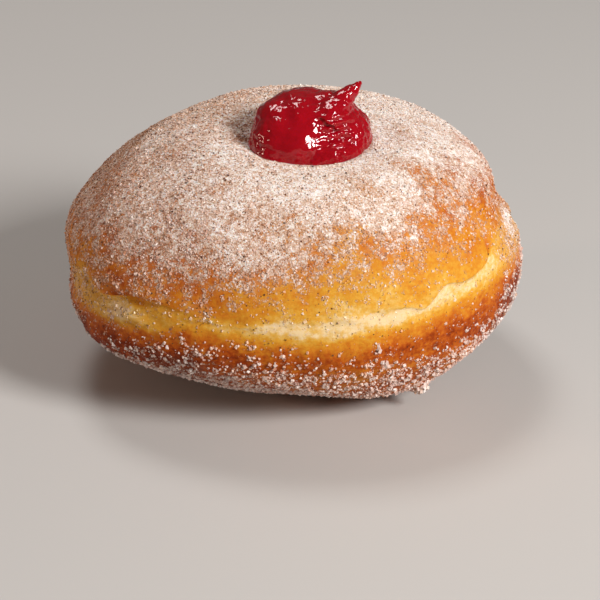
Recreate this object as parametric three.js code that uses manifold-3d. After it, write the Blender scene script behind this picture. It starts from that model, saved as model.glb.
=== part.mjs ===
// A yeast raised doughnut, fried on both faces and rolled in cinnamon sugar, with jelly piped in at the top.
//
// The dough is one solid. It proves as a ball and fries floating, first on one face and then on the other, so
// it has two browned halves, an upper cap and a lower fold, and between them a pale belt that the fat missed.
// The cap ends in a soft lip over the belt. The jelly is the second solid: a mound that swelled out of the
// filling hole and was drawn up into a tail as the nozzle came away. Lengths are millimetres, angles are degrees
// in the tables and radians in the functions, +X is the doughnut's right and -Y its front. Azimuth runs from +X
// through +Y. The origin is under the middle of the whole, on the surface that it stands on.
import * as THREE from "three";
import { mergeVertices } from "three/addons/utils/BufferGeometryUtils.js";
import Module from "manifold-3d";

const wasm = await Module();
wasm.setup();

const { degToRad: degrees, lerp } = THREE.MathUtils;

// ---- driving dimensions ----

const DOUGH = {
  radius: 43.8, // mean, at its widest
  height: 53.3, // to the crown, before the jelly's dimple is pressed in
  girthHeight: 26.5, // mean height of its widest line
  footSink: 1.5, // how far the soft underside has flattened
  footShift: 4.7, // the foot lies this far towards +X
};

// How square each half is in profile: 2 is an ellipse, more is squarer.
const SQUARENESS = { cap: 2.19, fold: 2.1, foldRight: 0.43 };

// The pale belt: the mean height of its middle.
const BELT = { height: 26.8 };

// The lip of the upper cap ends a little over the belt's middle, and rises or dips where it drew up or crept down.
const LIP = { rise: 0.8, least: 0.15, sharpness: 0.25, fadeUp: 4, fadeDown: 2.2 };
const LIP_WAVES = [
  { azimuth: -20, round: 13, up: 2.5 },
  { azimuth: -49.5, round: 3.5, up: 1.3 },
  { azimuth: -56.5, round: 3, up: -1.2 },
  { azimuth: -71, round: 10, up: -0.9 },
  { azimuth: -128, round: 11, up: 3.1 },
  { azimuth: -151, round: 8, up: 3.1 },
];

// It stands proud of the belt under it, by the least depth and more at each of these folds.
const LIP_FOLDS = [
  { azimuth: -138, round: 12, depth: 1.8 },
  { azimuth: -45, round: 18, depth: 1 },
  { azimuth: 5, round: 24, depth: 0.8 },
  { azimuth: 92, round: 30, depth: 0.8 },
  { azimuth: 180, round: 24, depth: 1.2 },
];

// Broad bulges and hollows of the proved dough: where, how far out, and how far they spread round it and up it.
const BULGES = [
  { azimuth: 2, latitude: 13, out: -2.6, round: 26, up: 10 },
  { azimuth: -12, latitude: -12, out: 0.6, round: 20, up: 14 },
  { azimuth: 52, latitude: 40, out: 1.2, round: 34, up: 20 },
  { azimuth: 176, latitude: 17, out: 1.6, round: 30, up: 13 },
  { azimuth: -143, latitude: -22, out: 2.5, round: 17, up: 16 },
  { azimuth: -62, latitude: -50, out: 2.2, round: 18, up: 14 },
  { azimuth: -95, latitude: -52, out: -1.2, round: 20, up: 16 },
  { azimuth: -170, latitude: 2, out: -1.5, round: 16, up: 8 },
  { azimuth: -168, latitude: -20, out: -0.8, round: 20, up: 16 },
  { azimuth: 150, latitude: 38, out: -0.4, round: 24, up: 16 },
  { azimuth: 18, latitude: 6, out: -0.6, round: 14, up: 8 },
];

// The dimple that the filling nozzle left, and how far the jelly stays clear of the dough.
const DIMPLE = { x: 3, y: -6.5, radius: 14, depth: 4.6 };
const JELLY = { x: 3, y: -6.5, z: 47.9, gap: 0.35, ripple: 0.06 };

// The jelly's mound is soft lobes, each a ball with a centre and radii in the jelly's own frame.
const JELLY_LOBES = [
  { centre: [-0.7, 0.9, 0.2], radii: [10.6, 10.5, 9.8], waves: 3.1 },
  { centre: [3.3, 0.3, 2.4], radii: [7.1, 7.2, 7.4], waves: 2.2 },
  { centre: [6.4, 0.9, 0.6], radii: [5.8, 8.3, 6.2], waves: 2.6 },
  { centre: [-5.1, -2.7, 0.5], radii: [6.5, 7.2, 7.2], waves: 2.4 },
  { centre: [-2.5, -3.2, 0.6], radii: [8, 7, 6.2], waves: 1.2 },
  { centre: [1, -3.7, 0.1], radii: [9.7, 6.5, 4.3], waves: 3.4 },
  { centre: [-5.1, -0.5, 4.3], radii: [5.4, 6.3, 4.5], waves: 2 },
];
const TAIL = {
  root: [3.4, -3, 5],
  bend: [6.2, -1.4, 9],
  tip: [9.8, 0.5, 11.9],
  rootRadius: 4.6,
  tipRadius: 0.25,
  taper: 0.92, // 1 is a straight cone, less thins sooner
};

// Sugar clumps lie in two bands of latitude: many on the rim that was rolled in the sugar, few above.
const CLUMP_BANDS = [
  { count: 92, from: -30, to: -63, smallest: 0.6, largest: 0.95 },
  { count: 26, from: 10, to: 62, smallest: 0.5, largest: 0.75 },
];
const CLUMP_SEED = 11;

// One crumb of caked sugar hangs out at the foot's front right.
const CRUMB = { azimuth: -47, latitude: -47, size: 1.5 };

// How finely each surface is divided. The dough's rows crowd towards the lip, where its skin turns sharply.
const SKIN = { columns: 90, capRows: 19, foldRows: 16, crowding: 1.45 };
const LOBE = { around: 24, down: 14 };
const HORN = { steps: 12, sides: 14 };

// ---- how the outline of the dough runs round it ----

// 1 at an azimuth, falling away over a width on both sides of it.
function bump(azimuth, centre, width) {
  const turn = 2 * Math.PI;
  const away = azimuth - centre;
  const nearest = away - turn * Math.round(away / turn);
  return Math.exp(-((nearest / width) ** 2));
}

// The three broad corners that a hand-cut, proved round has.
function girthRadius(azimuth) {
  return DOUGH.radius * (1 - 0.022 * Math.sin(3 * azimuth) + 0.004 * Math.cos(2 * azimuth));
}

// The widest line stands higher at the right, where the dough sprang more.
function girthHeight(azimuth) {
  return DOUGH.girthHeight + 3.7 * Math.cos(azimuth) - 0.6 * Math.sin(azimuth);
}

// The belt's middle rises towards the front right, because the two faces fried for unequal times.
function beltHeight(azimuth) {
  const high = azimuth + degrees(32);
  const right = 2.2 * bump(azimuth, degrees(-12), degrees(20));
  const ripple = 0.35 * Math.sin(9 * azimuth + 0.6) + 0.2 * Math.sin(16 * azimuth + 2.1);
  return BELT.height + 2.4 * Math.cos(high) + 0.8 * Math.cos(2 * high) + right + ripple;
}

function lipHeight(azimuth) {
  const upOf = (wave) => wave.up * bump(azimuth, degrees(wave.azimuth), degrees(wave.round));
  return LIP_WAVES.reduce((sum, wave) => sum + upOf(wave), beltHeight(azimuth) + LIP.rise);
}

function lipDepth(azimuth) {
  const depthOf = (fold) => fold.depth * bump(azimuth, degrees(fold.azimuth), degrees(fold.round));
  return LIP_FOLDS.reduce((sum, fold) => sum + depthOf(fold), LIP.least);
}

function bulge(azimuth, latitude) {
  const outOf = (one) => {
    const up = (latitude - degrees(one.latitude)) / degrees(one.up);
    return one.out * bump(azimuth, degrees(one.azimuth), degrees(one.round)) * Math.exp(-up * up);
  };
  return BULGES.reduce((sum, one) => sum + outOf(one), 0);
}

// Slow swells of the whole skin, which no two doughnuts share.
function swell(x, y, z) {
  const broad = Math.sin(x / 9.5 + 0.6) * Math.sin(y / 10.5 + 1.3) * Math.cos(z / 12 + 0.4);
  const fine = Math.sin(x / 4.9 + z / 6.3 + 2.0) * Math.sin(y / 5.6 - z / 5.2 + 0.5);
  return 0.55 * broad + 0.2 * fine;
}

// ---- the skin of the dough ----

function foldSquareness(azimuth) {
  return SQUARENESS.fold + SQUARENESS.foldRight * Math.cos(azimuth);
}

// How far the skin stands out at the lip: the cap's edge proud, the belt drawn in under it.
function lipRelief(azimuth, aboveLip) {
  const overShare = 1 / (1 + Math.exp(-aboveLip / LIP.sharpness));
  const over = 0.45 * overShare * Math.exp(-Math.abs(aboveLip) / LIP.fadeUp);
  const under = 0.55 * (1 - overShare) * Math.exp(-Math.abs(aboveLip) / LIP.fadeDown);
  return lipDepth(azimuth) * (over - under);
}

// Each half swells or draws in along a line of its own latitude, and by how much changes from left to right.
function halfRelief(across, latitude) {
  const lower = (0.9 - 0.5 * across) * Math.exp(-(((latitude + degrees(18)) / degrees(18)) ** 2));
  const upper = (0.7 + 0.9 * across) * Math.exp(-(((latitude - degrees(22)) / degrees(18)) ** 2));
  return lower - upper;
}

// latitude runs from -90 degrees at the middle of the foot, through 0 at the widest line, to 90 at the crown.
function doughPoint(azimuth, latitude) {
  const across = Math.cos(azimuth);
  const isCap = latitude >= 0;
  const squareness = isCap ? SQUARENESS.cap : foldSquareness(azimuth);
  const inward = Math.max(Math.cos(latitude), 0) ** (2 / squareness);
  const upward = Math.abs(Math.sin(latitude)) ** (2 / squareness);
  const girth = girthHeight(azimuth);
  const plainZ = isCap ? girth + (DOUGH.height - girth) * upward : girth * (1 - upward);

  const aboveLip = plainZ - lipHeight(azimuth);
  const relief = halfRelief(across, latitude) + lipRelief(azimuth, aboveLip) + bulge(azimuth, latitude);
  const radius = girthRadius(azimuth) * inward + relief * Math.min(1, inward * 2);
  const shift = isCap ? 0 : DOUGH.footShift * (1 - inward);
  const x = radius * across + shift;
  const y = radius * Math.sin(azimuth);

  const fromDimple = Math.hypot(x - DIMPLE.x, y - DIMPLE.y) / DIMPLE.radius;
  const pressed = isCap ? DIMPLE.depth * Math.exp(-(fromDimple ** 3)) : 0;
  const z = plainZ - pressed;

  const out = swell(x, y, z);
  const flat = Math.cos(latitude) * out;
  const lifted = z + Math.sin(latitude) * out - DOUGH.footSink;
  return new THREE.Vector3(x + flat * across, y + flat * Math.sin(azimuth), Math.max(lifted, 0));
}

// The latitude of the lip's edge, so that a row of the skin runs along it.
function lipLatitude(azimuth) {
  const girth = girthHeight(azimuth);
  const edge = lipHeight(azimuth);
  return edge >= girth
    ? Math.asin(((edge - girth) / (DOUGH.height - girth)) ** (SQUARENESS.cap / 2))
    : -Math.asin((1 - edge / girth) ** (foldSquareness(azimuth) / 2));
}

// A closed skin from a lower pole, through rings of points, to an upper pole.
function closedSkin(lowPole, rings, highPole) {
  const columns = rings[0].length;
  const points = [lowPole, ...rings.flat(), highPole];
  const at = (row, column) => 1 + row * columns + (column % columns);
  const faces = [];
  for (let column = 0; column < columns; column++) {
    faces.push(0, at(0, column + 1), at(0, column));
    for (let row = 0; row + 1 < rings.length; row++) {
      faces.push(at(row, column), at(row, column + 1), at(row + 1, column + 1));
      faces.push(at(row, column), at(row + 1, column + 1), at(row + 1, column));
    }
    faces.push(points.length - 1, at(rings.length - 1, column), at(rings.length - 1, column + 1));
  }
  return new THREE.BufferGeometry().setFromPoints(points).setIndex(faces);
}

function doughSkin() {
  const quarter = Math.PI / 2;
  const ringAt = (latitudeOf) =>
    Array.from({ length: SKIN.columns }, (_, column) => {
      const azimuth = (2 * Math.PI * column) / SKIN.columns;
      return doughPoint(azimuth, latitudeOf(lipLatitude(azimuth)));
    });
  const rings = [];
  for (let row = SKIN.foldRows - 1; row > 0; row--) {
    const share = (row / SKIN.foldRows) ** SKIN.crowding;
    rings.push(ringAt((lip) => lip - (quarter + lip) * share));
  }
  for (let row = 0; row < SKIN.capRows; row++) {
    const share = (row / SKIN.capRows) ** SKIN.crowding;
    rings.push(ringAt((lip) => lip + (quarter - lip) * share));
  }
  return closedSkin(doughPoint(0, -quarter), rings, doughPoint(0, quarter));
}

// ---- joining and cutting ----

function solidOf(geometry) {
  const bare = geometry.clone().deleteAttribute("normal").deleteAttribute("uv");
  const merged = mergeVertices(bare, 1e-4);
  return new wasm.Manifold(
    new wasm.Mesh({
      numProp: 3,
      vertProperties: merged.attributes.position.array,
      triVerts: new Uint32Array(merged.index.array),
    }),
  );
}

function geometryOf(solid) {
  const { vertProperties, triVerts } = solid.getMesh();
  return new THREE.BufferGeometry()
    .setAttribute("position", new THREE.BufferAttribute(vertProperties, 3))
    .setIndex(new THREE.BufferAttribute(triVerts, 1));
}

// ---- clumps of sugar on the skin ----

// A small generator of numbers from 0 to 1, the same at every run.
function seededDraw(seed) {
  let state = seed;
  return () => {
    state = (state * 48271) % 2147483647;
    return state / 2147483647;
  };
}

// A clump is a flat, rough nugget, half sunk in the skin and clear of the floor.
function sugarClump(azimuth, latitude, size, draw) {
  const step = 0.02;
  const seat = doughPoint(azimuth, latitude);
  const along = doughPoint(azimuth + step, latitude).sub(seat);
  const up = doughPoint(azimuth, latitude + step).sub(seat);
  const outward = along.cross(up).normalize();
  const nugget = new THREE.IcosahedronGeometry(1, 0);
  nugget.rotateZ(2 * Math.PI * draw()).scale(size * (1 + 0.5 * draw()), size, size * (0.65 + 0.3 * draw()));
  nugget.rotateZ(2 * Math.PI * draw());
  nugget.applyQuaternion(new THREE.Quaternion().setFromUnitVectors(new THREE.Vector3(0, 0, 1), outward));
  const clearOfFloor = Math.max(seat.z, 1.5 * size + 0.1);
  return solidOf(nugget.translate(seat.x, seat.y, clearOfFloor));
}

// A spiral spreads the clumps of each band evenly. The foot's flat and the jelly's dimple stay clear.
function addSugarClumps(dough) {
  const draw = seededDraw(CLUMP_SEED);
  const goldenTurn = Math.PI * (3 - Math.sqrt(5));
  let sugared = dough;
  for (const band of CLUMP_BANDS) {
    for (let i = 0; i < band.count; i++) {
      const share = (i + 0.5) / band.count;
      const latitude = degrees(lerp(band.from, band.to, share));
      const size = lerp(band.smallest, band.largest, draw());
      sugared = sugared.add(sugarClump(i * goldenTurn, latitude, size, draw));
    }
  }
  return sugared.add(sugarClump(degrees(CRUMB.azimuth), degrees(CRUMB.latitude), CRUMB.size, draw));
}

// ---- the jelly ----

// One soft lobe: a ball with its own radii and a slight waviness.
function lobeSolid({ centre, radii, waves }) {
  const ball = new THREE.SphereGeometry(1, LOBE.around, LOBE.down);
  const place = ball.attributes.position;
  const point = new THREE.Vector3();
  for (let i = 0; i < place.count; i++) {
    point.fromBufferAttribute(place, i);
    const { x, y, z } = point;
    const ripple = Math.sin(waves * x + 1) * Math.sin(waves * y + 2) * Math.sin(waves * z + 0.5);
    point.multiplyScalar(1 + JELLY.ripple * ripple);
    point.multiply(new THREE.Vector3(...radii)).add(new THREE.Vector3(...centre));
    place.setXYZ(i, ...point);
  }
  return solidOf(ball);
}

// The tail: a horn that leaves the mound, bends towards +X and thins to a point.
function tailSolid() {
  const [root, bend, tip] = [TAIL.root, TAIL.bend, TAIL.tip].map((place) => new THREE.Vector3(...place));
  const line = new THREE.QuadraticBezierCurve3(root, bend, tip);
  const rings = [];
  for (let step = 0; step < HORN.steps; step++) {
    const share = step / (HORN.steps - 1);
    const middle = line.getPoint(share);
    const along = line.getTangent(share);
    const side = new THREE.Vector3(0, 1, 0).cross(along).normalize();
    const other = along.clone().cross(side);
    const radius = lerp(TAIL.rootRadius, TAIL.tipRadius, share ** TAIL.taper);
    rings.push(
      Array.from({ length: HORN.sides }, (_, column) => {
        const turn = (2 * Math.PI * column) / HORN.sides;
        const across = side.clone().multiplyScalar(radius * Math.cos(turn));
        return across.addScaledVector(other, radius * Math.sin(turn)).add(middle);
      }),
    );
  }
  const blunt = tip.clone().addScaledVector(line.getTangent(1), TAIL.tipRadius);
  return solidOf(closedSkin(root, rings, blunt));
}

// The mound is cut by the dough raised by a small gap, so it follows the dimple that it lies in.
function jellySolid(dough) {
  const mound = JELLY_LOBES.reduce((sum, one) => sum.add(lobeSolid(one)), tailSolid());
  const placed = mound.translate([JELLY.x, JELLY.y, JELLY.z]);
  return placed.subtract(dough.translate([0, 0, JELLY.gap]));
}

// ---- the whole ----

const sugaredCrust = new THREE.MeshStandardMaterial({ color: 0xc98b55, roughness: 0.85, metalness: 0 });
const redJelly = new THREE.MeshStandardMaterial({ color: 0x9c0a14, roughness: 0.12, metalness: 0 });

const bareDough = solidOf(doughSkin());
const dough = new THREE.Mesh(geometryOf(addSugarClumps(bareDough)), sugaredCrust);
dough.name = "dough";
const jelly = new THREE.Mesh(geometryOf(jellySolid(bareDough)), redJelly);
jelly.name = "jelly";

const doughnut = new THREE.Group();
doughnut.add(dough, jelly);

// The origin goes under the middle of the whole, at its lowest point.
const box = new THREE.Box3().setFromObject(doughnut);
const middle = box.getCenter(new THREE.Vector3());
doughnut.position.set(-middle.x, -middle.y, -box.min.z);

export default doughnut;
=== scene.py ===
# A jelly filled doughnut: fried yeast dough, red jelly piped in at the top, and cinnamon sugar all over.
# Each section below makes one piece or group of pieces, in the order that a baker puts them together.
import math

import bpy
import numpy as np
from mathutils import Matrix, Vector, noise
from mathutils.bvhtree import BVHTree


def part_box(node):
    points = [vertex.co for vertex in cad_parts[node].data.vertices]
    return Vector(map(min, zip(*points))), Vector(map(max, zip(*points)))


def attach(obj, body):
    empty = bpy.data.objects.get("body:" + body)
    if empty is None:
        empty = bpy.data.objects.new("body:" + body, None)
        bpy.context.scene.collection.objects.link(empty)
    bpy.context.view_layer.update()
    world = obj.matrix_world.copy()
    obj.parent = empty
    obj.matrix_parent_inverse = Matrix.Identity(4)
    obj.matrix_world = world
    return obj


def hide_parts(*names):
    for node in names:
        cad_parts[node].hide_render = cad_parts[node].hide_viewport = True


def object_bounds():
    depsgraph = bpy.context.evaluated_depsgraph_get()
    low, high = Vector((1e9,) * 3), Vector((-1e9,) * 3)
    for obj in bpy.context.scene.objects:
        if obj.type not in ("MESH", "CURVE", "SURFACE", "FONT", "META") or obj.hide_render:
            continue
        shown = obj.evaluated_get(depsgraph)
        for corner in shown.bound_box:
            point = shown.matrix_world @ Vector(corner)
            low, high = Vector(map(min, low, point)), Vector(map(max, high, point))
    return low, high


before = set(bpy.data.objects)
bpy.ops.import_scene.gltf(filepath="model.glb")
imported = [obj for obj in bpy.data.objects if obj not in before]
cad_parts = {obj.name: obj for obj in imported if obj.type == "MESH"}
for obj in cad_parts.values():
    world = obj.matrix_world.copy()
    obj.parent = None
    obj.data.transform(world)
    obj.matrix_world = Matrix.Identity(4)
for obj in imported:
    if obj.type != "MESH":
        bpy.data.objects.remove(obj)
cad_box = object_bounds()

# ---------- the camera
# A long lens, 24 degrees above the table at the front. It looks a little under the doughnut's middle, so
# that the doughnut stands above the middle of the square picture.
MM = 0.001
CAMERA_HEIGHT_ANGLE = math.radians(24)
CAMERA_DISTANCE = 450 * MM
PICTURE_WIDTH = 117.9 * MM  # at the doughnut's middle
MIDDLE_HEIGHT = 24.5 * MM
AIM_RIGHT, AIM_DOWN = 1.1 * MM, 12.0 * MM
SENSOR_WIDTH = 36  # a camera's sensor and lens are counted in millimetres
NEAREST_SEEN = 10 * MM

level, upright = math.cos(CAMERA_HEIGHT_ANGLE), math.sin(CAMERA_HEIGHT_ANGLE)
back_to_camera, picture_up = Vector((0, -level, upright)), Vector((0, upright, level))
middle = Vector((0, 0, MIDDLE_HEIGHT))
aim = middle + Vector((AIM_RIGHT, 0, 0)) - picture_up * AIM_DOWN

camera_data = bpy.data.cameras.new("camera")
camera = bpy.data.objects.new("camera", camera_data)
bpy.context.scene.collection.objects.link(camera)
camera.location = middle + back_to_camera * CAMERA_DISTANCE
camera.rotation_euler = (aim - camera.location).to_track_quat("-Z", "Y").to_euler()
camera_data.sensor_width = SENSOR_WIDTH
camera_data.lens = SENSOR_WIDTH * CAMERA_DISTANCE / PICTURE_WIDTH
camera_data.clip_start = NEAREST_SEEN
bpy.context.scene.camera = camera

# ---------- the fried dough
# A ball of yeast dough that floated in the fat, first on one face and then on the other: a browned cap and
# a browned base, with a pale soft belt between them, and the cap's lip hanging a little over the belt.
# Its lengths are in mm in its own axes until the skin is moved into the frame, and its angles in degrees.
DOUGH_RADIUS, DOUGH_HEIGHT, GIRTH_HEIGHT = 43.8, 53.3, 26.5
THREE_SIDED, OVAL = 0.022, 0.004  # how far it is out of round, as shares of the radius
GIRTH_UP_RIGHT, GIRTH_UP_FRONT = 3.7, 0.6  # how far the girth rises to the right and to the front
FOOT_SINK, FOOT_SHIFT = 1.5, 4.7
CAP_SQUARENESS, BASE_SQUARENESS, BASE_SQUARENESS_RIGHT = 2.19, 2.1, 0.43
DIMPLE_X, DIMPLE_Y, DIMPLE_RADIUS, DIMPLE_DEPTH, DIMPLE_STEEPNESS = 3.0, -6.5, 14.0, 4.6, 3
POLE_FADE = 0.5  # the relief fades out towards the poles from this share of the girth's radius

# The belt's middle line: how far it is tilted and bent like a saddle about its high side, where it turns up
# (azimuth, spread and height) and its ripples (how many round it, phase and height).
BELT_HEIGHT, BELT_TILT, BELT_SADDLE, BELT_HIGH_SIDE = 26.8, 2.4, 0.8, -32
BELT_UPTURNS = [(-12, 20, 2.2)]
BELT_RIPPLES = [(9, 0.6, 0.35), (16, 2.1, 0.2)]

# The cap's lip: its folds, where it crept down or drew up, and where the belt's lower edge did, each with
# its azimuth, its spread, and its depth or height.
LIP_RISE, BELT_FOOT = 0.8, -1.2
LIP_LEAST, LIP_SHARPNESS, LIP_FADE_UP, LIP_FADE_DOWN = 0.15, 0.25, 4.0, 2.2
LIP_OUT, LIP_IN = 0.45, 0.55  # shares of its depth that stand out over the line and are drawn in under it
LIP_FOLDS = [(-138, 12, 1.8), (-45, 18, 1.0), (5, 24, 0.8), (92, 30, 0.8), (180, 24, 1.2)]
LIP_WAVES = [(-20, 13, 2.5), (-49.5, 3.5, 1.3), (-56.5, 3, -1.2), (-71, 10, -0.9)]
LIP_WAVES += [(-128, 11, 3.1), (-151, 8, 3.1)]
BELT_FOOT_WAVES = [(-20, 12, -1.2), (-45, 13, -0.2), (-79, 12, -1.3), (-102, 16, 1.0)]

# Each half swells or draws in: latitude, spread up, how far out, and how much further out on the right.
HALVES = [(-18, 18, 0.9, -0.5), (22, 18, -0.7, -0.9)]

# Broad bulges and hollows: azimuth, latitude, how far out, spread round and spread up.
BULGES = [
    (2, 13, -2.6, 26, 10), (-12, -12, 0.6, 20, 14), (52, 40, 1.2, 34, 20), (176, 17, 1.6, 30, 13),
    (-143, -22, 2.5, 17, 16), (-62, -50, 2.2, 18, 14), (-95, -52, -1.2, 20, 16), (-170, 2, -1.5, 16, 8),
    (-168, -20, -0.8, 20, 16), (150, 38, -0.4, 24, 16), (18, 6, -0.6, 14, 8),
]
SWELL, FINE_SWELL = 0.55, 0.2


def smooth(value, start, end):
    """0 before start, 1 after end, and a soft step between them."""
    share = np.clip((value - start) / (end - start), 0, 1)
    return share * share * (3 - 2 * share)


def steps(value, stairs):
    """The sum of soft steps, each given by start, end and height."""
    return sum(height * smooth(value, start, end) for start, end, height in stairs)


def band(value, start, full, fade, end):
    """1 between full and fade, falling softly to 0 at start and at end."""
    return smooth(value, start, full) * (1 - smooth(value, fade, end))


def hill(value, centre, spread):
    """1 at the centre, falling away over a spread on both sides of it."""
    return np.exp(-(((value - centre) / spread) ** 2))


def bump(azimuth, centre, spread):
    """A hill round the doughnut. Centre and spread are in degrees."""
    away = azimuth - math.radians(centre)
    nearest = away - 2 * math.pi * np.round(away / (2 * math.pi))
    return hill(nearest, 0, math.radians(spread))


def bumps(azimuth, places):
    """The sum of bumps, each given by azimuth, spread and height."""
    return sum(height * bump(azimuth, at, spread) for at, spread, height in places)


def girth_radius(azimuth):
    return DOUGH_RADIUS * (1 - THREE_SIDED * np.sin(3 * azimuth) + OVAL * np.cos(2 * azimuth))


def girth_height(azimuth):
    return GIRTH_HEIGHT + GIRTH_UP_RIGHT * np.cos(azimuth) - GIRTH_UP_FRONT * np.sin(azimuth)


def belt_height(azimuth):
    high = azimuth - math.radians(BELT_HIGH_SIDE)
    bent = BELT_TILT * np.cos(high) + BELT_SADDLE * np.cos(2 * high)
    ripple = sum(up * np.sin(count * azimuth + phase) for count, phase, up in BELT_RIPPLES)
    return BELT_HEIGHT + bent + bumps(azimuth, BELT_UPTURNS) + ripple


def lip_rise(azimuth):
    """How far the cap's edge lies above the belt's middle line."""
    return LIP_RISE + bumps(azimuth, LIP_WAVES)


def belt_foot(azimuth):
    """How far the belt's lower edge lies above its middle line."""
    return BELT_FOOT + bumps(azimuth, BELT_FOOT_WAVES)


def lip_relief(azimuth, above_lip):
    """The cap's edge stands proud, and the belt is drawn in under it."""
    over_share = 0.5 + 0.5 * np.tanh(above_lip / (2 * LIP_SHARPNESS))
    over = LIP_OUT * over_share * np.exp(-np.abs(above_lip) / LIP_FADE_UP)
    under = LIP_IN * (1 - over_share) * np.exp(-np.abs(above_lip) / LIP_FADE_DOWN)
    return (LIP_LEAST + bumps(azimuth, LIP_FOLDS)) * (over - under)


def broad_relief(azimuth, latitude):
    """Each half swells or draws in along its own latitude, and the bulges come on top."""
    across, upright = np.cos(azimuth), np.degrees(latitude)
    relief = sum((out + right * across) * hill(upright, at, spread) for at, spread, out, right in HALVES)
    for at, height, out, spread, spread_up in BULGES:
        relief += out * bump(azimuth, at, spread) * hill(upright, height, spread_up)
    return relief


def swell(x, y, z):
    """The skin's uneven swelling: broad and fine waves of unlike lengths."""
    broad = np.sin(x / 9.5 + 0.6) * np.sin(y / 10.5 + 1.3) * np.cos(z / 12 + 0.4)
    fine = np.sin(x / 4.9 + z / 6.3 + 2.0) * np.sin(y / 5.6 - z / 5.2 + 0.5)
    return SWELL * broad + FINE_SWELL * fine


def base_squareness(azimuth):
    return BASE_SQUARENESS + BASE_SQUARENESS_RIGHT * np.cos(azimuth)


def dough_point(azimuth, latitude):
    """A point of the skin, and its height over the belt's middle line.

    Latitude runs from -90 degrees at the middle of the foot, through 0 at the girth, to 90 at the crown.
    """
    across = np.cos(azimuth)
    is_cap = latitude >= 0
    squareness = np.where(is_cap, CAP_SQUARENESS, base_squareness(azimuth))
    inward = np.maximum(np.cos(latitude), 0) ** (2 / squareness)
    upward = np.abs(np.sin(latitude)) ** (2 / squareness)
    girth = girth_height(azimuth)
    plain_z = np.where(is_cap, girth + (DOUGH_HEIGHT - girth) * upward, girth * (1 - upward))
    above_belt = plain_z - belt_height(azimuth)
    relief = broad_relief(azimuth, latitude) + lip_relief(azimuth, above_belt - lip_rise(azimuth))
    radius = girth_radius(azimuth) * inward + relief * np.minimum(1, inward / POLE_FADE)
    x = radius * across + np.where(is_cap, 0, FOOT_SHIFT * (1 - inward))
    y = radius * np.sin(azimuth)
    from_dimple = np.hypot(x - DIMPLE_X, y - DIMPLE_Y) / DIMPLE_RADIUS
    z = plain_z - np.where(is_cap, DIMPLE_DEPTH * np.exp(-(from_dimple**DIMPLE_STEEPNESS)), 0)
    out = swell(x, y, z)
    flat = np.cos(latitude) * out
    lifted = z + np.sin(latitude) * out - FOOT_SINK
    place = np.stack([x + flat * across, y + flat * np.sin(azimuth), np.maximum(lifted, 0)], axis=-1)
    return place, above_belt


def lip_latitude(azimuth):
    girth = girth_height(azimuth)
    edge = belt_height(azimuth) + lip_rise(azimuth)
    above = np.arcsin(np.clip((edge - girth) / (DOUGH_HEIGHT - girth), 0, 1) ** (CAP_SQUARENESS / 2))
    below = -np.arcsin(np.clip(1 - edge / girth, 0, 1) ** (base_squareness(azimuth) / 2))
    return np.where(edge >= girth, above, below)


# The skin is a net of rows and columns. Its rows crowd towards the lip and run along it.
SKIN_COLUMNS, SKIN_BASE_ROWS, SKIN_CAP_ROWS, SKIN_CROWDING = 440, 88, 118, 1.2

skin_azimuth = np.linspace(0, 2 * math.pi, SKIN_COLUMNS, endpoint=False)
lip = lip_latitude(skin_azimuth)
base_share = (np.arange(SKIN_BASE_ROWS - 1, 0, -1) / SKIN_BASE_ROWS) ** SKIN_CROWDING
cap_share = (np.arange(SKIN_CAP_ROWS) / SKIN_CAP_ROWS) ** SKIN_CROWDING
base_latitude = lip - (math.pi / 2 + lip) * base_share[:, None]
cap_latitude = lip + (math.pi / 2 - lip) * cap_share[:, None]
skin_latitude = np.vstack([base_latitude, cap_latitude])
skin_azimuth = np.broadcast_to(skin_azimuth, skin_latitude.shape)
skin, rise = dough_point(skin_azimuth, skin_latitude)


def unit(vectors):
    return vectors / np.maximum(np.linalg.norm(vectors, axis=-1, keepdims=True), 1e-9)


def net_normals(net):
    """The outward direction at each point of a net that closes on itself from column to column."""
    along = np.roll(net, -1, axis=1) - np.roll(net, 1, axis=1)
    return unit(np.cross(along, np.gradient(net, axis=0)))


OCTAVE_FADE, OCTAVE_STEP = 1.0, 2.1  # how much weaker and finer each octave of a noise is than the last


def ripple_at(places, size, octaves, seed):
    """Soft noise, about -1 to 1, whose largest features are of the given size."""
    flat_places = places.reshape(-1, 3) / size + seed
    values = [noise.fractal(place, OCTAVE_FADE, OCTAVE_STEP, octaves) for place in flat_places.tolist()]
    return np.array(values).reshape(places.shape[:-1])


# The crust's fine relief: soft puckers everywhere, a tight grain where it browned, creases along the belt,
# and wrinkles that run up the base. A reach is where a form starts, is full, fades and ends.
PUCKER_HEIGHT, GRAIN_HEIGHT, CREASE_HEIGHT, WRINKLE_HEIGHT = 0.16, 0.07, 0.3, 0.22
ALONG_BELT, UP_BASE = np.array([0.45, 0.45, 1.7]), np.array([1.0, 1.0, 0.4])
BELT_SPREAD = 3.2
WRINKLE_REACH = (1.0, 3.5, 9.0, 13.0)  # under the belt

over_lip = rise - lip_rise(skin_azimuth)
under_belt = belt_foot(skin_azimuth) - rise
belt_share = hill(rise, 0, BELT_SPREAD)
puckers = ripple_at(skin, size=5.5, octaves=3, seed=3.0)
grain = ripple_at(skin, size=1.5, octaves=2, seed=11.0)
creases = ripple_at(skin * ALONG_BELT, size=2.2, octaves=3, seed=7.0)
wrinkles = ripple_at(skin * UP_BASE, size=1.8, octaves=3, seed=15.0)
relief = PUCKER_HEIGHT * puckers + GRAIN_HEIGHT * grain * (1 - belt_share)
relief += CREASE_HEIGHT * creases * belt_share
relief += WRINKLE_HEIGHT * wrinkles * band(under_belt, *WRINKLE_REACH)

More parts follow.
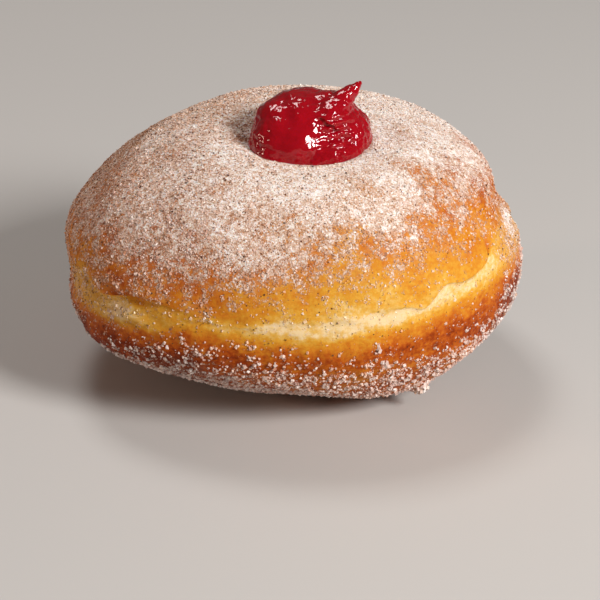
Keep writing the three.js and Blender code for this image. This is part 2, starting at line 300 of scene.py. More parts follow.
# Where the belt tore as it rose, a pale patch of crumb stands out under a pocket of the lip, painted dark
# as shade, and at
# the right sugar is caked on it: azimuth, height above the belt's middle line, spread round and spread up.
TORN_PATCH = (-135, 0.6, 6.0, 2.0)
POCKET = (-134, 3.5, 6.5, 1.0)
CAKED_PATCH = (-9, 2.6, 5.0, 1.6)
TORN_HEIGHT, TORN_CREASES, POCKET_DEPTH = 0.7, 0.5, 0.7


def spot(place):
    """1 at a place by the belt, falling away over its spreads."""
    at, height, spread, spread_up = place
    return bump(skin_azimuth, at, spread) * hill(rise, height, spread_up)


torn = spot(TORN_PATCH)
pocket = spot(POCKET)
relief = relief + torn * (TORN_HEIGHT + TORN_CREASES * creases) - POCKET_DEPTH * pocket

# A pleat runs up the cap from the lip, with a ridge beside it: azimuth, spread and depth. It leans, in
# degrees a mm, about its middle.
PLEAT = [(-30.5, 1.6, 1.2), (-34.0, 3.0, -0.72)]
PLEAT_LEAN, PLEAT_MIDDLE = 0.5, 4.0
PLEAT_REACH = (-0.5, 1.5, 4.0, 9.0)  # over the lip

pleat_azimuth = skin_azimuth - np.radians(PLEAT_LEAN) * (rise - PLEAT_MIDDLE)
relief -= bumps(pleat_azimuth, PLEAT) * band(over_lip, *PLEAT_REACH)

# Caked sugar hangs out at the foot like a crumb.
CRUMB_AZIMUTH, CRUMB_LATITUDE, CRUMB_SPREAD, CRUMB_STEEPNESS, CRUMB_HEIGHT = -47.0, -47.0, 1.7, 4, 1.5

crumb_seat, _ = dough_point(np.radians(CRUMB_AZIMUTH), np.radians(CRUMB_LATITUDE))
from_crumb = np.linalg.norm(skin - crumb_seat, axis=-1)
crumb_share = np.exp(-((from_crumb / CRUMB_SPREAD) ** CRUMB_STEEPNESS))
relief += CRUMB_HEIGHT * crumb_share

# The crust lies under the tops of its crystals by the room that they take, and rises in a bank round the
# jelly, which has its full height up to one distance and ends at another.
SUGAR_ROOM, BANK_RISE, BANK_FULL, BANK_END = 0.35, 0.65, 11.0, 17.0
FLOOR_FADE = 1.5

off_floor = smooth(skin[..., 2], 0.0, FLOOR_FADE)
from_jelly = np.hypot(skin[..., 0] - DIMPLE_X, skin[..., 1] - DIMPLE_Y)
sugar_room = SUGAR_ROOM - BANK_RISE * (1 - smooth(from_jelly, BANK_FULL, BANK_END))
skin = skin + net_normals(skin) * ((relief - sugar_room) * off_floor)[..., None]
skin[..., 2] = np.maximum(skin[..., 2], 0)

# Into the frame: metres, with the skin's own box over the middle of the dough's box.
dough_low, dough_high = (Vector(corner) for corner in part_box("dough"))
skin_middle = (skin.min(axis=(0, 1)) + skin.max(axis=(0, 1))) / 2
to_frame = np.array((dough_low + dough_high) / 2) - skin_middle * MM
to_frame[2] = 0
skin = skin * MM + to_frame
skin_normal = net_normals(skin)
POLES = (-math.pi / 2, math.pi / 2)
pole_points = [dough_point(np.float64(0), np.float64(pole))[0] * MM + to_frame for pole in POLES]

# How brown the crust is, from 0 on the belt to 1 where it fried longest, with painted shade added: browner
# on the shaded side at the left, in the lip's pocket, in the pleat and beside the jelly.
# The cap's edge is crisp at the front right and over the torn patch at the left, and elsewhere the colours
# run into each other.
CRISP_RIGHT, CRISP_LEFT = (-43, 15), (-134, 14)
GOLDEN, SHADED_SIDE, PALE_BASE = (-68, 38), (-140, 34), (-108, 16)
BLUSH_AZIMUTH, BLUSH_EDGE = math.radians(8), (0.76, 0.92)
BELT_BROWN, BELT_BROWN_WAVES = 0.06, [(-74, 20, -0.1), (-118, 16, 0.07), (-23, 9, 0.07)]
WANDER, WANDER_ROUND, WANDER_UP = 0.7, 9.0, 14.0
RAGGED_OVER, RAGGED_UNDER, WANDER_UNDER = 0.4, 0.9, 0.6
PLEAT_SHADE, PLEAT_SHADE_REACH = [(-30.5, 1.2, 0.3)], (-0.3, 0.4, 1.0, 3.5)
SHADED_SIDE_BROWN, BLUSH_BROWN, POCKET_SHADE_BROWN, TORN_PALE, TORN_CLEAN = 0.1, 0.2, 0.35, 0.9, 0.6

crisp = np.maximum(bump(skin_azimuth, *CRISP_RIGHT), bump(skin_azimuth, *CRISP_LEFT))
soft = 1 - crisp
golden = bump(skin_azimuth, *GOLDEN)
# The shaded side, at the left away from the key lamp, is browned as painted shade.
shaded_side = bump(skin_azimuth, *SHADED_SIDE)
blushed = smooth(np.cos(skin_azimuth - BLUSH_AZIMUTH), *BLUSH_EDGE)
unrolled = np.stack([skin_azimuth * DOUGH_RADIUS / WANDER_ROUND, rise / WANDER_UP, rise * 0], axis=-1)
wander = WANDER * ripple_at(unrolled, size=1.0, octaves=4, seed=5.0)
ragged = ripple_at(skin / MM, size=2.4, octaves=2, seed=95.0)
blotches = ripple_at(skin / MM, size=6.0, octaves=3, seed=61.0)
over = over_lip + (wander + RAGGED_OVER * ragged) * soft
under = under_belt + WANDER_UNDER * wander + RAGGED_UNDER * ragged

# Steps of browning over the lip and under the belt: start, end, and how much browner it gets. The steps by
# the shaded side are painted shade.
cap_steps = [
    (0.1 - 0.9 * soft, 0.3 + 1.3 * soft, 0.14 + 0.06 * crisp),
    (0.5, 4.0 + 2.0 * golden, 0.14),
    (4.0, 11.0, 0.16),
    (-0.6, 1.2, 0.08 * shaded_side),
    (0.0, 2.0, 0.08 * blotches),
]
base_steps = [
    (-0.8, 2.8, 0.42),
    (2.0, 6.6, 0.26),
    (0.5, 2.5, -0.08 * bump(skin_azimuth, *PALE_BASE)),
    (-0.6, 1.6, 0.15 * shaded_side),
    (0.0, 2.0, 0.17 * blotches),
]
browning = BELT_BROWN + bumps(skin_azimuth, BELT_BROWN_WAVES)
browning = browning + steps(over, cap_steps) + steps(under, base_steps)
# Painted shade on the left side, less over the torn patch.
browning += SHADED_SIDE_BROWN * shaded_side * (1 - TORN_CLEAN * torn)
# The pocket under the lip is browned as painted shade.
browning = browning + BLUSH_BROWN * blushed + POCKET_SHADE_BROWN * pocket
browning += bumps(pleat_azimuth, PLEAT_SHADE) * band(over_lip, *PLEAT_SHADE_REACH)
browning = np.clip(browning, 0, 1) * (1 - TORN_PALE * torn)

# How much sugar clings, from 0 to 1: tongues and clusters of it reach down the cap, and it is back at the
# foot, where the doughnut was rolled. Each edge has its distance from the belt and its waves.
CAP_EDGE, CAP_EDGE_WAVES = 10.6, [(-42, 32, 1.2), (-160, 34, -2.0), (-105, 26, -1.2)]
FOOT_EDGE = 13.8
FOOT_EDGE_WAVES = [(-46, 24, 2.0), (-113, 24, -5.2), (-84, 12, 0.8), (-170, 17, -7.5), (-2, 14, -5.5)]
EDGE_FADE = (-9.0, 7.0)
TONGUE_REACH, DRIFT_REACH, CLUSTER_REACH = 2.2, 4.0, 6.0
CAP_SUGAR, FOOT_SUGAR = 0.8, 0.22

tongues = ripple_at(skin / MM, size=8.0, octaves=2, seed=71.0)
drifts = ripple_at(skin / MM, size=3.6, octaves=2, seed=81.0)
clusters = ripple_at(skin / MM, size=1.7, octaves=2, seed=51.0)
uneven_edge = TONGUE_REACH * tongues + DRIFT_REACH * drifts + CLUSTER_REACH * clusters
cap_edge = CAP_EDGE + bumps(skin_azimuth, CAP_EDGE_WAVES)
foot_edge = FOOT_EDGE + bumps(skin_azimuth, FOOT_EDGE_WAVES)
dusting_and_light = CAP_SUGAR * smooth(rise - cap_edge + uneven_edge, *EDGE_FADE)
dusting_and_light = dusting_and_light + FOOT_SUGAR * smooth(-rise - foot_edge + uneven_edge, *EDGE_FADE) + crumb_share

# More of it lies towards the crown, in steps over the belt, and on the lit side it is thicker and whiter as
# painted light.
LIT_AZIMUTH = math.radians(-22)
CROWN_LEAST, CROWN_LIT_DUST, CROWN_WAVES = -0.16, 0.54, [(-88, 30, -0.1), (2, 40, 0.1)]
CROWN_EDGE, CROWN_TONGUES, CROWN_LEFT = (12.0, 20.0), 6.0, (-100, 20)

# The side that faces the key lamp: its dust is made thicker and whiter as painted light.
lit_side = 0.5 + 0.5 * np.cos(skin_azimuth - LIT_AZIMUTH)
# The steps from 17 mm up make the dust thicker and whiter near the crown: partly more sugar on top, partly
# painted light from above.
crown_steps = [
    (10.0, 16.0, 0.3 * tongues),
    (17.0, 23.0, 0.19),
    (20.0, 24.0, 0.15),
    (6.0, 10.0, 0.08 * bump(skin_azimuth, *CROWN_LEFT)),
]
crown_sugar = CROWN_LEAST + CROWN_LIT_DUST * lit_side + bumps(skin_azimuth, CROWN_WAVES)
dusting_and_light += crown_sugar * smooth(rise + CROWN_TONGUES * tongues, *CROWN_EDGE)
dusting_and_light += steps(rise, crown_steps)

# The belt has dust of its own on its marks. At the jelly's left the rim of the filling hole is bare and
# browner: partly bare crust, partly painted shade beside the jelly.
BELT_DUST_SPREAD, BLUSH_DUST, LEFT_DUST = 5.0, 0.55, [(-158, 24, 0.4)]
TORN_DUST, CAKED_DUST, POCKET_BARE = 0.12, 1.1, 0.8
SCRAPE_PLACE, SCRAPE_SPREAD, SCRAPE_BARE, SCRAPE_SHADE_BROWN = np.array([-9.6, -7.5, 48.9]), 2.2, 0.7, 0.28
MOST_DUST = 1.3

belt_dust = (BLUSH_DUST * blushed + bumps(skin_azimuth, LEFT_DUST)) * hill(rise, 0, BELT_DUST_SPREAD)
belt_dust = (belt_dust + TORN_DUST * torn) * (1 - pocket) + CAKED_DUST * spot(CAKED_PATCH)
from_scrape = np.linalg.norm((skin - to_frame) / MM - SCRAPE_PLACE, axis=-1)
scraped_and_shaded = hill(from_scrape, 0, SCRAPE_SPREAD)
dusting_and_light = np.clip(dusting_and_light + belt_dust - SCRAPE_BARE * scraped_and_shaded, 0, MOST_DUST) * (1 - POCKET_BARE * pocket)
# Browner beside the jelly: painted shade.
browning = np.clip(browning + SCRAPE_SHADE_BROWN * scraped_and_shaded, 0, 1)


def closed_net(net, low_pole, high_pole):
    """The points and faces of a net that closes round itself, with a fan of faces to each pole."""
    rows, columns = net.shape[:2]
    points = np.vstack([[low_pole], net.reshape(-1, 3), [high_pole]])
    index = 1 + np.arange(rows * columns).reshape(rows, columns)
    beside = np.roll(index, -1, axis=1)
    quads = np.stack([index[:-1], beside[:-1], beside[1:], index[1:]], axis=-1).reshape(-1, 4)
    low_fan = np.stack([np.zeros(columns, int), beside[0], index[0]], axis=-1)
    high_fan = np.stack([np.full(columns, len(points) - 1), index[-1], beside[-1]], axis=-1)
    return points.tolist(), quads.tolist() + low_fan.tolist() + high_fan.tolist()


def net_mesh(name, nets):
    """One mesh of closed nets, each given with its two poles."""
    points, faces = [], []
    for net in nets:
        own_points, own_faces = closed_net(*net)
        faces += [[len(points) + i for i in face] for face in own_faces]
        points += own_points
    mesh = bpy.data.meshes.new(name)
    mesh.from_pydata(points, [], faces)
    mesh.shade_smooth()
    return mesh


def add_piece(name, mesh, node):
    """Puts a mesh in the scene as a piece that rides on the doughnut, and stands for a node."""
    piece = bpy.data.objects.new(name, mesh)
    bpy.context.scene.collection.objects.link(piece)
    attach(piece, "root")
    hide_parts(node)


def set_point_values(mesh, name, values, low_value, high_value):
    """Stores one number a point on a net's mesh, for its material to read."""
    attribute = mesh.attributes.new(name, "FLOAT", "POINT")
    attribute.data.foreach_set("value", np.concatenate([[low_value], values.ravel(), [high_value]]))


# How brown and how dusted the net's poles are, the middles of the foot and of the crown.
POLE_BROWNING, POLE_DUSTING = (1.0, 0.5), (0.6, 1.0)

crust_mesh = net_mesh("crust", [(skin, *pole_points)])
set_point_values(crust_mesh, "browning", browning, *POLE_BROWNING)
set_point_values(crust_mesh, "dusting_and_light", dusting_and_light, *POLE_DUSTING)
set_point_values(crust_mesh, "above_belt", rise * MM, rise.min() * MM, rise.max() * MM)


class Nodes:
    """A short way to write a node tree."""

    def __init__(self, tree):
        self.tree = tree
        self.tree.nodes.clear()

    def put(self, socket, value):
        """Links a socket to another node's output, or sets its own number or colour."""
        if isinstance(value, bpy.types.NodeSocket):
            self.tree.links.new(value, socket)
        else:
            socket.default_value = value

    def add(self, kind, settings=None, **sockets):
        """Adds a node. Each socket goes by its number, as in _1, or by its name with _ for each space."""
        node = self.tree.nodes.new(kind)
        for name, value in (settings or {}).items():
            setattr(node, name, value)
        for name, value in sockets.items():
            place = int(name[1:]) if name[0] == "_" else name.replace("_", " ")
            self.put(node.inputs[place], value)
        return node

    def group(self, group, **values):
        return self.add("ShaderNodeGroup", {"node_tree": group}, **values)

    def stored(self, name):
        """A number that is stored on the mesh."""
        return self.add("ShaderNodeAttribute", {"attribute_name": name}).outputs["Fac"]

    def ramp(self, value, stops):
        """A colour ramp with (position, (red, green, blue)) stops."""
        node = self.add("ShaderNodeValToRGB", _0=value)
        elements = node.color_ramp.elements
        while len(elements) < len(stops):
            elements.new(0.5)
        for element, (position, colour) in zip(elements, stops):
            element.position = position
            element.color = (*colour, 1)
        return node.outputs["Color"]

    def math(self, operation, *values):
        node = self.add("ShaderNodeMath", {"operation": operation})
        for socket, value in zip(node.inputs, values):
            self.put(socket, value)
        return node.outputs[0]

    def total(self, start, *parts):
        """The start, plus each part's value times its weight."""
        for value, weight in parts:
            start = self.math("MULTIPLY_ADD", value, weight, start)
        return start

    def on_object(self):
        """The place on the piece, in metres."""
        return self.add("ShaderNodeTexCoord").outputs["Object"]

    def noise(self, place, **values):
        return self.add("ShaderNodeTexNoise", Vector=place, **values).outputs[0]

    def map_range(self, value, **limits):
        return self.add("ShaderNodeMapRange", Value=value, **limits).outputs[0]

    def mix(self, factor, first, second):
        """Colour first where factor is 0, and second where it is 1."""
        return self.add("ShaderNodeMix", {"data_type": "RGBA"}, _0=factor, _6=first, _7=second).outputs[2]

    def surface(self, **values):
        """Makes a Principled shader of the values the surface of the material."""
        shader = self.add("ShaderNodeBsdfPrincipled", **values)
        self.add("ShaderNodeOutputMaterial", Surface=shader.outputs[0])


def new_material(name):
    material = bpy.data.materials.new(name)
    material.use_nodes = True
    return material, Nodes(material.node_tree)


def new_group(name, inputs, outputs):
    """A shader node group of (name, default) inputs and (name, kind) outputs, its net and what comes in."""
    group = bpy.data.node_groups.new(name, "ShaderNodeTree")
    for label, default in inputs:
        socket = group.interface.new_socket(label, in_out="INPUT", socket_type="NodeSocketFloat")
        socket.default_value = default
    for label, kind in outputs:
        group.interface.new_socket(label, in_out="OUTPUT", socket_type="NodeSocket" + kind)
    net = Nodes(group)
    return group, net, net.add("NodeGroupInput").outputs


# The group "patches": soft-edged patches of a size, as a mask from 0 to 1 that covers the given share.
CLOUD_LEAST, CLOUD_MOST = 0.25, 0.75
patch_inputs = [("Size mm", 1.0), ("Cover", 0.5), ("Softness", 0.2)]
patches, net, given = new_group("patches", patch_inputs, [("Mask", "Float")])
where = net.on_object()
per_metre = net.math("DIVIDE", 1 / MM, given["Size mm"])
cloud = net.noise(where, Scale=per_metre, Detail=3.0, Roughness=0.6)
edge = net.total(CLOUD_MOST, (given["Cover"], CLOUD_LEAST - CLOUD_MOST))
low = net.total(edge, (given["Softness"], -0.5))
high = net.total(edge, (given["Softness"], 0.5))
smoothed = {"interpolation_type": "SMOOTHSTEP"}
mask = net.add("ShaderNodeMapRange", smoothed, Value=cloud, From_Min=low, From_Max=high)
net.add("NodeGroupOutput", Mask=mask.outputs[0])

# The group "grains": packed cells with rounded tops, each with a tone and a chance of its own from 0 to 1.
grain_outputs = [("Tone", "Float"), ("Chance", "Float"), ("Height", "Float")]
grains, net, given = new_group("grains", [("Size mm", 0.3)], grain_outputs)
where = net.on_object()
per_metre = net.math("DIVIDE", 1 / MM, given["Size mm"])
cells = net.add("ShaderNodeTexVoronoi", Vector=where, Scale=per_metre)
draws = net.add("ShaderNodeSeparateColor", Color=cells.outputs["Color"])
top = net.math("SUBTRACT", 1.0, cells.outputs["Distance"])
net.add("NodeGroupOutput", Tone=draws.outputs[0], Chance=draws.outputs[1], Height=top)

# The group "fried colour": the colour of the crust by how brown it is.
CRUST_STOPS = [
    (0.0, (0.8, 0.6, 0.33)),
    (0.1, (0.72, 0.43, 0.1)),
    (0.2, (0.67, 0.33, 0.035)),
    (0.33, (0.62, 0.25, 0.02)),
    (0.5, (0.55, 0.165, 0.013)),
    (0.68, (0.44, 0.09, 0.008)),
    (0.85, (0.3, 0.045, 0.004)),
    (1.0, (0.18, 0.022, 0.003)),
]
fried_colour, net, given = new_group("fried colour", [("Browning", 0.5)], [("Color", "Color")])
net.add("NodeGroupOutput", Color=net.ramp(given["Browning"], CRUST_STOPS))

# The dust's colours by its tone, and the film of the finest dust between its grains.
DUST_STOPS = [
    (0.0, (0.3, 0.14, 0.08)),
    (0.2, (0.5, 0.31, 0.21)),
    (0.5, (0.67, 0.475, 0.37)),
    (0.8, (0.82, 0.72, 0.655)),
    (1.0, (0.91, 0.885, 0.855)),
]
FILM_COLOUR = (0.7, 0.44, 0.25, 1)
STREAK_CROWDING = 2.5  # how much finer the streaks are across the belt than along it
PALE_ROUGHNESS, BROWN_ROUGHNESS, DUST_ROUGHNESS = 0.72, 0.42, 0.9


def crust_material():
    """Browned crust by its browning, which carries painted shade, under a dull dust of fine sugar and
    cinnamon by its dusting, which carries painted light on the lit side.
    """
    material, net = new_material("fried crust")
    browned_and_shaded, dusted_and_lit, above_belt = (net.stored(name) for name in ("browning", "dusting_and_light", "above_belt"))
    where = net.on_object()

    # Browning runs in soft blotches and in streaks along the belt, the more uneven the browner it is.
    place = net.add("ShaderNodeSeparateXYZ", Vector=where).outputs
    stretched = net.math("MULTIPLY", above_belt, STREAK_CROWDING)
    along = net.add("ShaderNodeCombineXYZ", X=place[0], Y=place[1], Z=stretched).outputs[0]
    streaks = net.noise(along, Scale=260.0, Detail=5.0, Roughness=0.65)
    broad = net.group(patches, Size_mm=4.5, Cover=0.5, Softness=0.5).outputs[0]
    close = net.group(patches, Size_mm=0.8, Cover=0.5, Softness=0.4).outputs[0]
    uneven = net.total(-0.72, (broad, 0.3), (close, 0.34), (streaks, 0.8))
    browned_and_shaded = net.total(browned_and_shaded, (uneven, net.total(0.28, (browned_and_shaded, 0.5))))
    crust = net.group(fried_colour, Browning=browned_and_shaded).outputs[0]

    # The dust is made of fine grains that cling in small clumps, whiter where it lies thick.
    grain = net.group(grains, Size_mm=0.32).outputs
    clump = net.group(grains, Size_mm=0.85).outputs
    patch = net.group(patches, Size_mm=1.5, Cover=0.5, Softness=0.6).outputs[0]
    drift = net.group(patches, Size_mm=5.0, Cover=0.5, Softness=0.7).outputs[0]
    chance = net.total(0.04, (grain["Chance"], 0.66), (clump["Chance"], 0.3))
    reach = net.total(-0.275, (dusted_and_lit, 1.0), (patch, 0.55), (chance, -1.0))
    cover = net.map_range(reach, From_Min=-0.11, From_Max=0.11, To_Max=0.96)
    tone = net.total(-0.76, (grain["Tone"], 0.76), (clump["Tone"], 0.4))
    tone = net.total(tone, (patch, 0.4), (drift, 0.2), (dusted_and_lit, 0.5))
    thick = net.map_range(dusted_and_lit, From_Min=0.05, To_Max=0.4)
    film = net.mix(thick, crust, FILM_COLOUR)
    colour = net.mix(cover, film, net.ramp(tone, DUST_STOPS))

    bare = net.map_range(browned_and_shaded, To_Min=PALE_ROUGHNESS, To_Max=BROWN_ROUGHNESS)
    roughness = net.map_range(cover, To_Min=bare, To_Max=DUST_ROUGHNESS)
    fine = net.noise(where, Scale=1500.0, Detail=3.0)
    grainy = net.math("MULTIPLY", grain["Height"], cover)
    height = net.total(0.0, (fine, 0.5), (grainy, 0.6), (streaks, 1.2))
    bumpy = net.add("ShaderNodeBump", Strength=0.7, Distance=0.18 * MM, Height=height)
    net.surface(
        Base_Color=colour,
        Roughness=roughness,
        Normal=bumpy.outputs[0],
        Subsurface_Weight=0.1,
        Subsurface_Radius=(1.0, 0.5, 0.2),
        Subsurface_Scale=1 * MM,
        Specular_IOR_Level=0.06,
    )
    return material


crust_mesh.materials.append(crust_material())
add_piece("crust", crust_mesh, "dough")

# ---------- the jelly
# Seedless red jelly, piped in through the top: a mound of soft lobes that swelled out of the filling hole,
# with a tail where the nozzle was drawn away. It lies in the dimple, and its base takes the dimple's shape.
JELLY_X, JELLY_Y, JELLY_Z = 3.0, -6.5, 47.9
LOBE_RIPPLE = 0.06
LOBE_PHASES = np.array([1.0, 2.0, 0.5])

# Lobes: centre, radii and how wavy, in mm from the jelly's own origin.
JELLY_LOBES = [
    ((-0.7, 0.9, 0.2), (10.6, 10.5, 9.8), 3.1),
    ((3.3, 0.3, 2.4), (7.1, 7.2, 7.4), 2.2),
    ((6.4, 0.9, 0.6), (5.8, 8.3, 6.2), 2.6),
    ((-5.1, -2.7, 0.5), (6.5, 7.2, 7.2), 2.4),
    ((-2.5, -3.2, 0.6), (8.0, 7.0, 6.2), 1.2),
    ((1.0, -3.7, 0.1), (9.7, 6.5, 4.3), 3.4),
    ((-5.1, -0.5, 4.3), (5.4, 6.3, 4.5), 2.0),
]
TAIL_ROOT, TAIL_BEND, TAIL_TIP = (3.4, -3.0, 5.0), (6.2, -1.4, 9.0), (9.8, 0.5, 11.9)
TAIL_ROOT_RADIUS, TAIL_TIP_RADIUS, TAIL_TAPER = 4.6, 0.25, 0.92
LOBE_AROUND, LOBE_DOWN = 64, 40
TAIL_STEPS, TAIL_SIDES = 40, 28
JELLY_VOXEL, JELLY_SMOOTHING, JELLY_SOFTNESS = 0.24 * MM, 14, 0.5
JELLY_SINK = 0.25 * MM  # how far its base reaches into the sugar


def lobe_net(centre, radii, waves):
    """One soft lobe: a ball with its own radii and a slight waviness, as a net and its two poles."""
    down = math.pi * np.arange(LOBE_DOWN - 1, 0, -1) / LOBE_DOWN
    turn = 2 * math.pi * np.arange(LOBE_AROUND) / LOBE_AROUND
    down, turn = (grid.T for grid in np.meshgrid(down, turn))
    ball = np.stack([np.sin(down) * np.cos(turn), np.sin(down) * np.sin(turn), np.cos(down)], axis=-1)
    poles = np.array([[0.0, 0.0, -1.0], [0.0, 0.0, 1.0]])

    def waved(points):
        ripple = np.prod(np.sin(waves * points + LOBE_PHASES), axis=-1, keepdims=True)
        return points * (1 + LOBE_RIPPLE * ripple) * np.array(radii) + np.array(centre)

    return waved(ball), *waved(poles)


def tail_net():
    """The tail: a horn that leaves the mound, bends towards +X and thins to a point."""
    root, bend, tip = (np.array(place) for place in (TAIL_ROOT, TAIL_BEND, TAIL_TIP))
    turn = 2 * math.pi * np.arange(TAIL_SIDES)[:, None] / TAIL_SIDES
    rings = []
    for share in np.linspace(0, 1, TAIL_STEPS):
        centre = (1 - share) ** 2 * root + 2 * share * (1 - share) * bend + share**2 * tip
        along = unit(2 * (1 - share) * (bend - root) + 2 * share * (tip - bend))
        side = unit(np.cross([0, 1, 0], along))
        radius = TAIL_ROOT_RADIUS + (TAIL_TIP_RADIUS - TAIL_ROOT_RADIUS) * share**TAIL_TAPER
        rings.append(centre + radius * (np.cos(turn) * side + np.sin(turn) * np.cross(along, side)))
    return np.array(rings), root, tip + along * TAIL_TIP_RADIUS


def melted(mesh):
    """The mesh's parts flowed into one skin, with their seams softened."""
    rough = bpy.data.objects.new("rough", mesh)
    bpy.context.scene.collection.objects.link(rough)
    remesh = rough.modifiers.new("flow", "REMESH")
    remesh.mode = "VOXEL"
    remesh.voxel_size = JELLY_VOXEL
    soften = rough.modifiers.new("soften", "SMOOTH")
    soften.iterations = JELLY_SMOOTHING
    soften.factor = JELLY_SOFTNESS
    evaluated = rough.evaluated_get(bpy.context.evaluated_depsgraph_get())
    result = bpy.data.meshes.new_from_object(evaluated)
    bpy.data.objects.remove(rough)
    bpy.data.meshes.remove(mesh)
    return result


def surface_of(mesh):
    """The mesh as a surface that rays can hit."""
    points = [vertex.co for vertex in mesh.vertices]
    return BVHTree.FromPolygons(points, [face.vertices for face in mesh.polygons])


jelly_origin = np.array([JELLY_X, JELLY_Y, JELLY_Z]) * MM + to_frame
jelly_nets = [lobe_net(*lobe) for lobe in JELLY_LOBES] + [tail_net()]
jelly_nets = [tuple(points * MM + jelly_origin for points in one) for one in jelly_nets]
jelly_mesh = melted(net_mesh("lobes", jelly_nets))

# The gel's skin is dented all over, and wrinkled except on its broad face. It is crinkled at the right and
# low down, and drawn into lines at its right end and into ledges at the front, which come and go along X as
# if round a radius.
DENT_DEPTH, WRINKLE_DEPTH, WRINKLE_MORE, LINE_DEPTH, LEDGE_DEPTH = 0.3, 0.04, 0.12, 0.12, 0.2
CRINKLE_DEPTH, CRINKLE_MORE = 0.03, 0.09
FACE_X, FACE_Z, FACE_LOWNESS, FACE_EDGE = -1.5, 3.5, 1.3, (2.0, 6.5)
SQUASHED = np.array([1.0, 1.0, 1.4])
DRAWN_OUT = np.array([[1.6, 0.0, 0.2], [0.0, 1.6, 0.0], [1.0, 0.0, 0.35]])
LINES_FROM = (5.5, 8.0)
LEDGE_CROWDING, LEDGE_WAVER, LEDGE_REACH = 5.2, 1.5, (1.0, 2.5, 6.5, 8.0)
LEDGE_RADIUS, LEDGE_X, LEDGE_SPREAD = 3.0, 5.2, 50
CRINKLED_RIGHT, CRINKLED_LOW, LOW_END = (0.0, 3.0), (-3.5, -1.0), (2.5, 4.0)

place = np.array([vertex.co for vertex in jelly_mesh.vertices])
outward = np.array([vertex.normal for vertex in jelly_mesh.vertices])
own = (place - jelly_origin) / MM
own_x, own_y, own_z = own.T
dents = ripple_at(own, size=4.2, octaves=2, seed=21.0)
wrinkles = ripple_at(own * SQUASHED, size=1.3, octaves=3, seed=31.0)
off_face = smooth(np.hypot(own_x - FACE_X, (own_z - FACE_Z) * FACE_LOWNESS), *FACE_EDGE)
lines = ripple_at(own @ DRAWN_OUT, size=1.1, octaves=2, seed=41.0) * smooth(own_x, *LINES_FROM)
ledges = np.sin(own_z * LEDGE_CROWDING + LEDGE_WAVER * dents) * band(own_z, *LEDGE_REACH) * (own_y < 0)
ledges *= bump(own_x / LEDGE_RADIUS, math.degrees(LEDGE_X / LEDGE_RADIUS), LEDGE_SPREAD)
crinkled_low = smooth(own_x, *CRINKLED_LOW) * (1 - smooth(own_z, *LOW_END))
crinkled = np.maximum(smooth(own_x, *CRINKLED_RIGHT), crinkled_low)
crinkles = ripple_at(own, size=0.9, octaves=2, seed=51.0)
waves = DENT_DEPTH * dents + (WRINKLE_DEPTH + WRINKLE_MORE * off_face) * wrinkles + LINE_DEPTH * lines
waves = waves + LEDGE_DEPTH * ledges + (CRINKLE_DEPTH + CRINKLE_MORE * crinkled) * crinkles
place = place + outward * (waves * MM)[:, None]

# The base settles on the crust: whatever lies deeper than the sugar is drawn up to just under the skin.
DOWN = Vector((0, 0, -1))

crust_surface = surface_of(crust_mesh)
over_all = cad_box[1][2] + 10 * MM
for i, (x, y, z) in enumerate(place.tolist()):
    seat = crust_surface.ray_cast(Vector((x, y, over_all)), DOWN)[0]
    place[i, 2] = max(z, seat.z - JELLY_SINK)
jelly_mesh.vertices.foreach_set("co", place.ravel())
jelly_mesh.shade_smooth()
jelly_mesh.update()

JELLY_RED, JELLY_DEEP_RED = (0.36, 0.0012, 0.008, 1), (0.27, 0.0008, 0.006, 1)


def jelly_material():
    """Clear red gel in soft patches of a lighter and a deeper red, and wet on top."""
    material, net = new_material("red jelly")
    cloudy = net.group(patches, Size_mm=3.0, Cover=0.5, Softness=0.8).outputs[0]
    fine = net.noise(net.on_object(), Scale=1400.0, Detail=2.0)
    net.surface(
        Base_Color=net.mix(cloudy, JELLY_RED, JELLY_DEEP_RED),
        Roughness=0.08,
        Normal=net.add("ShaderNodeBump", Strength=0.35, Distance=0.1 * MM, Height=fine).outputs[0],
        IOR=1.4,
        Subsurface_Weight=0.35,
        Subsurface_Radius=(1.0, 0.08, 0.08),
        Subsurface_Scale=3 * MM,
        Coat_Weight=0.3,
        Coat_Roughness=0.04,
    )
    return material


jelly_mesh.materials.clear()
jelly_mesh.materials.append(jelly_material())
add_piece("jelly_mound", jelly_mesh, "jelly")

# ---------- the sugar
# Granulated sugar: blocky crystals and broken ones half sunk in the crust, dense on the cap, sparse by the
# belt, and coarse at the foot where the doughnut was rolled. Each kind is one mesh.
JELLY_CLEARANCE, TABLE_CLEARANCE = 0.3 * MM, 0.25 * MM
UP = Vector((0, 0, 1))

jelly_surface = surface_of(jelly_mesh)


def between_rows(values):
    """A net's values at its cells, halfway from each row to the next."""
    return (values[:-1] + values[1:]) / 2


cell_place = between_rows(skin)
cell_along = np.roll(cell_place, -1, axis=1) - cell_place
cell_up = skin[1:] - skin[:-1]
cell_area = np.linalg.norm(np.cross(cell_along, cell_up), axis=-1)
cell_rise = between_rows(rise)
cell_uneven = between_rows(uneven_edge)


def is_clear(point):
    """Whether a place is neither under nor near the jelly."""
    is_under = jelly_surface.ray_cast(point, UP)[0] is not None
    is_near = jelly_surface.find_nearest(point, JELLY_CLEARANCE)[0] is not None
    return not (is_under or is_near)


